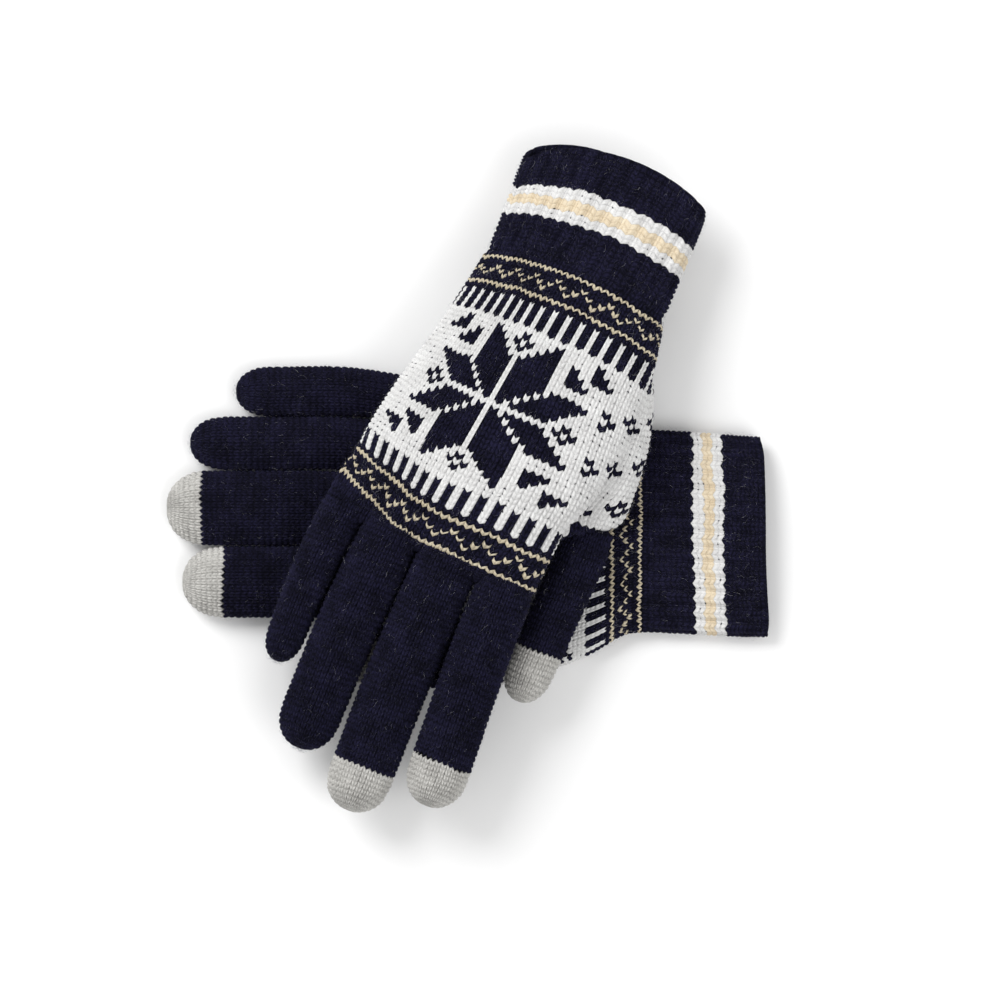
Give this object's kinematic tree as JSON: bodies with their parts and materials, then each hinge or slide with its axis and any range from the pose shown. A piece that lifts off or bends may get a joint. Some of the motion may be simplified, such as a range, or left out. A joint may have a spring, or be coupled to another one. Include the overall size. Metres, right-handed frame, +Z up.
{
  "type": "knitted gloves",
  "caption": "Pair of knitted winter gloves with ribbed cuffs, a snowflake pattern and conductive fingertips, one laid across the other.",
  "frame": {"origin": "centre of the pair's bounding box, on the surface that the gloves lie on", "axes": "+Z up; the left glove's fingers point to -X, and the right glove's to -Y and a little to -X"},
  "size_m": [0.2162, 0.2416, 0.0411],
  "materials": {
    "navy_rib": "matt, brushed ribbed wool knit",
    "snowflake_knit": "matt, brushed wool knit",
    "navy_knit": "matt, brushed wool knit",
    "conductive_knit": "matt, smooth knit of conductive yarn",
    "elastic_thread": "matt, covered elastic thread"
  },
  "bodies": {
    "left_glove": {"left_cuff": "navy_rib", "left_cuff_elastic": "elastic_thread", "left_hand": "snowflake_knit", "left_little_base": "navy_knit", "left_ring_base": "navy_knit", "left_middle_base": "navy_knit", "left_index_base": "navy_knit", "left_thumb_base": "navy_knit"},
    "left_little": {"left_little_stall": "navy_knit"},
    "left_ring": {"left_ring_stall": "navy_knit"},
    "left_middle": {"left_middle_stall": "navy_knit", "left_middle_tip": "conductive_knit"},
    "left_index": {"left_index_stall": "navy_knit", "left_index_tip": "conductive_knit"},
    "left_thumb": {"left_thumb_stall": "navy_knit", "left_thumb_tip": "conductive_knit"},
    "right_glove": {"right_cuff": "navy_rib", "right_cuff_elastic": "elastic_thread", "right_hand": "snowflake_knit", "right_little_base": "navy_knit", "right_ring_base": "navy_knit", "right_middle_base": "navy_knit", "right_index_base": "navy_knit", "right_thumb_base": "navy_knit"},
    "right_little": {"right_little_stall": "navy_knit"},
    "right_ring": {"right_ring_stall": "navy_knit"},
    "right_middle": {"right_middle_stall": "navy_knit", "right_middle_tip": "conductive_knit"},
    "right_index": {"right_index_stall": "navy_knit", "right_index_tip": "conductive_knit"},
    "right_thumb": {"right_thumb_stall": "navy_knit", "right_thumb_tip": "conductive_knit"}
  },
  "joints": [
    {"name": "right_lift_off", "type": "slide", "parent": "left_glove", "child": "right_glove", "axis": [0, 0, 1], "range_m": [0, 0.15]},
    {"name": "left_little_curl", "type": "hinge", "parent": "left_glove", "child": "left_little", "pos_m": [-0.0413, 0.03063, 0.0053], "axis": [0, 1, 0], "range_deg": [0, 60]},
    {"name": "left_ring_curl", "type": "hinge", "parent": "left_glove", "child": "left_ring", "pos_m": [-0.0523, 0.01196, 0.0053], "axis": [0, 1, 0], "range_deg": [0, 60]},
    {"name": "left_middle_curl", "type": "hinge", "parent": "left_glove", "child": "left_middle", "pos_m": [-0.0663, -0.01145, 0.0053], "axis": [0, 1, 0], "range_deg": [0, 60]},
    {"name": "left_index_curl", "type": "hinge", "parent": "left_glove", "child": "left_index", "pos_m": [-0.0773, -0.03825, 0.0053], "axis": [0, 1, 0], "range_deg": [0, 60]},
    {"name": "left_thumb_swing", "type": "hinge", "parent": "left_glove", "child": "left_thumb", "pos_m": [-0.0148, -0.06532, 0.0053], "axis": [0, 0, 1], "range_deg": [0, 28]},
    {"name": "right_little_fold", "type": "hinge", "parent": "right_glove", "child": "right_little", "pos_m": [-0.04931, -0.02117, 0.02443], "axis": [-0.9272, 0.3746, 0], "range_deg": [0, 45]},
    {"name": "right_ring_fold", "type": "hinge", "parent": "right_glove", "child": "right_ring", "pos_m": [-0.03105, -0.02855, 0.02661], "axis": [-0.9272, 0.3746, 0], "range_deg": [0, 45]},
    {"name": "right_middle_fold", "type": "hinge", "parent": "right_glove", "child": "right_middle", "pos_m": [-0.00969, -0.03718, 0.02841], "axis": [-0.9272, 0.3746, 0], "range_deg": [0, 45]},
    {"name": "right_index_fold", "type": "hinge", "parent": "right_glove", "child": "right_index", "pos_m": [0.01258, -0.04617, 0.03041], "axis": [-0.9272, 0.3746, 0], "range_deg": [0, 45]},
    {"name": "right_thumb_swing", "type": "hinge", "parent": "right_glove", "child": "right_thumb", "pos_m": [0.03765, -0.03581, 0.01834], "axis": [0, 0, 1], "range_deg": [0, 28]}
  ]
}
